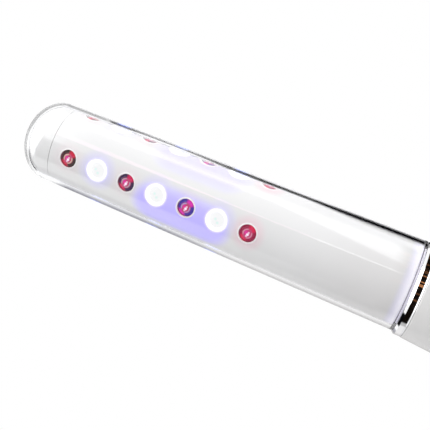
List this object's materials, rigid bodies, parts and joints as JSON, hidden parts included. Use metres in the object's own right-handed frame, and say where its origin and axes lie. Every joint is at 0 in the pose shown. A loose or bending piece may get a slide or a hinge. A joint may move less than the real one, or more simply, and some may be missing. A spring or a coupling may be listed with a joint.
{
  "type": "light therapy wand",
  "caption": "Handheld light therapy wand: a clear domed tube over a white drum of red and blue lamps, a chrome ring and a white battery handle with press buttons.",
  "frame": {"origin": "centre of the flat base of the end cap, on which the wand stands", "axes": "+Z along the wand's axis from the base to the domed tip; the buttons and the first lamp row face -Y"},
  "size_m": [0.0342, 0.0344, 0.2227],
  "materials": {
    "clear_tube": "clear acrylic, polished",
    "drum": "white, satin gloss",
    "led_red": "red lit lens, polished",
    "led_blue": "blue lit lens, polished",
    "led_board": "white solder mask",
    "mast": "satin",
    "frame": "moulded, matt",
    "steel": "plain",
    "brass": "plain",
    "chrome": "mirror",
    "silicone": "matt",
    "handle": "white, high gloss",
    "button": "white, satin",
    "switch": "matt",
    "circuit_board": "green solder mask",
    "battery": "plastic wrap",
    "contact": "gold plated",
    "cable": "smooth"
  },
  "bodies": {
    "wand": {"clear_tube": "clear_tube", "led_carrier": "drum", "carrier_tip_cap": "drum", "led_flex_board": "led_board", "board_mast": "mast", "motor_cradle": "frame", "vibration_motor": "steel", "chrome_ring": "chrome", "neck_gasket": "silicone", "handle_sleeve": "handle", "button_membrane": "silicone", "power_switch": "switch", "mode_switch": "switch", "main_board": "circuit_board", "inner_frame": "frame", "battery": "battery", "end_cap": "handle", "end_cap_seal": "silicone", "charging_pin_1": "contact", "charging_pin_2": "contact", "charge_board": "circuit_board", "end_cap_screw_1": "steel", "end_cap_screw_2": "steel", "board_screw_1": "steel", "board_screw_2": "steel", "head_harness": "cable", "battery_cable": "cable", "charge_cable": "cable", "led_red_1_1": "led_red", "led_red_1_3": "led_red", "led_red_1_5": "led_red", "led_red_1_7": "led_red", "led_red_2_1": "led_red", "led_red_2_3": "led_red", "led_red_2_5": "led_red", "led_red_2_7": "led_red", "led_red_3_1": "led_red", "led_red_3_3": "led_red", "led_red_3_5": "led_red", "led_red_3_7": "led_red", "led_red_4_1": "led_red", "led_red_4_3": "led_red", "led_red_4_5": "led_red", "led_red_4_7": "led_red", "led_blue_1_2": "led_blue", "led_blue_1_4": "led_blue", "led_blue_1_6": "led_blue", "led_blue_2_2": "led_blue", "led_blue_2_4": "led_blue", "led_blue_2_6": "led_blue", "led_blue_3_2": "led_blue", "led_blue_3_4": "led_blue", "led_blue_3_6": "led_blue", "led_blue_4_2": "led_blue", "led_blue_4_4": "led_blue", "led_blue_4_6": "led_blue"},
    "power_button": {"power_button": "button"},
    "mode_button": {"mode_button": "button"},
    "rotor": {"motor_shaft": "steel", "eccentric_weight": "brass"}
  },
  "joints": [
    {"name": "power_press", "type": "slide", "parent": "wand", "child": "power_button", "axis": [0, 1, 0], "range_m": [0, 0.0005], "stiffness_N_per_m": 1500},
    {"name": "mode_press", "type": "slide", "parent": "wand", "child": "mode_button", "axis": [0, 1, 0], "range_m": [0, 0.0005], "stiffness_N_per_m": 1500},
    {"name": "rotor_spin", "type": "hinge", "parent": "wand", "child": "rotor", "pos_m": [0, 0, 0.1193], "axis": [0, 0, 1], "continuous": true}
  ]
}
